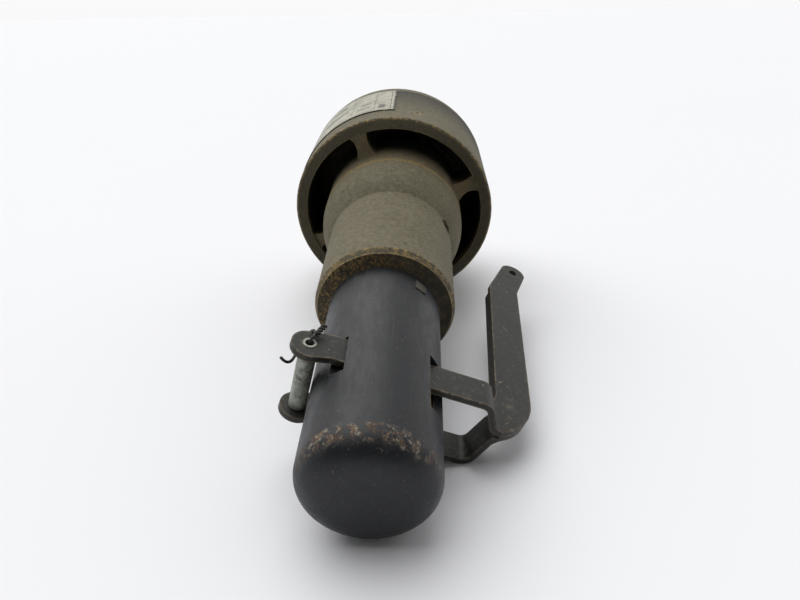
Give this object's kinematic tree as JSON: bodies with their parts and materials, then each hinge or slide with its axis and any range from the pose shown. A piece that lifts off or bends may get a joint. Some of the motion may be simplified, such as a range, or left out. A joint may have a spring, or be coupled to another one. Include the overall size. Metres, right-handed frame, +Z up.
{
  "type": "hand signalling key",
  "caption": "Hand-held lever signalling key: closed grip tube, sprung plunger worked by a strap lever, cast head with rear-facing sounder opening.",
  "frame": {"origin": "under the middle of the object, on the surface that it lies on", "axes": "+Z up from that surface, +Y from the grip's closed end towards the head, +X towards the lever; the tube's axis rises 9.3 degrees towards the head"},
  "size_m": [0.0994, 0.2294, 0.0916],
  "materials": {
    "black_enamel": "satin black enamel, worn to rust and bare metal at the closed end",
    "olive_paint": "olive drab paint on sand-cast brass, worn to brass on its edges",
    "worn_brass": "dark patinated brass",
    "dull_brass": "dull machined brass",
    "blackened_steel": "blackened strip steel with rubbed brownish edges",
    "pivot_metal": "grey light alloy, dulled",
    "bare_steel": "bare machined steel",
    "rusty_steel": "rusted steel",
    "wire_steel": "dark annealed wire",
    "spring_steel": "blued spring steel",
    "plate_face": "cream plate with dark border",
    "brown_insulation": "brown moulded insulation",
    "coil_copper": "enamelled copper wire",
    "contact_silver": "silver contact metal",
    "seal_rubber": "black rubber"
  },
  "bodies": {
    "handle": {"grip_tube": "black_enamel", "locating_key": "bare_steel", "gland_ring": "worn_brass", "head_casting": "olive_paint", "neck_set_screw": "rusty_steel", "front_cover": "olive_paint", "inlet_body": "dull_brass", "inlet_seal": "seal_rubber", "inlet_cap": "dull_brass", "sounder_pot": "bare_steel", "sounder_core": "bare_steel", "sounder_bobbin": "brown_insulation", "coil_winding": "coil_copper", "diaphragm": "spring_steel", "diaphragm_clamp": "bare_steel", "clamp_screws": "bare_steel", "nameplate": "plate_face", "spring_seat": "bare_steel", "return_spring": "spring_steel", "guide_bush": "dull_brass", "contact_block": "brown_insulation", "fixed_contacts": "contact_silver", "terminal_screws": "dull_brass", "hub_cover": "olive_paint", "hub_cover_screws": "dull_brass"},
    "lever": {"lever_bar": "blackened_steel", "lower_strap": "blackened_steel", "lever_rivet": "blackened_steel", "pivot_pin": "pivot_metal", "pivot_barrel": "pivot_metal", "locking_wire": "wire_steel"},
    "plunger": {"plunger": "dull_brass", "plunger_rod": "bare_steel", "moving_contact": "contact_silver", "contact_carrier": "brown_insulation", "rod_nut": "dull_brass"}
  },
  "joints": [
    {"name": "lever_swing", "type": "hinge", "parent": "handle", "child": "lever", "pos_m": [-0.02669, -0.07846, 0.03137], "axis": [-0.2616, 0.1566, -0.9524], "range_deg": [0, 14], "stiffness_Nm_per_rad": 1.6, "springref_deg": -14.32, "deforming": ["return_spring"]},
    {"name": "plunger_slide", "type": "slide", "parent": "handle", "child": "plunger", "axis": [0, -0.9867, -0.1623], "range_m": [0, 0.009]}
  ],
  "couplings": [
    {"joint": "plunger_slide", "follows": "lever_swing", "m_per_rad": 0.036833}
  ]
}
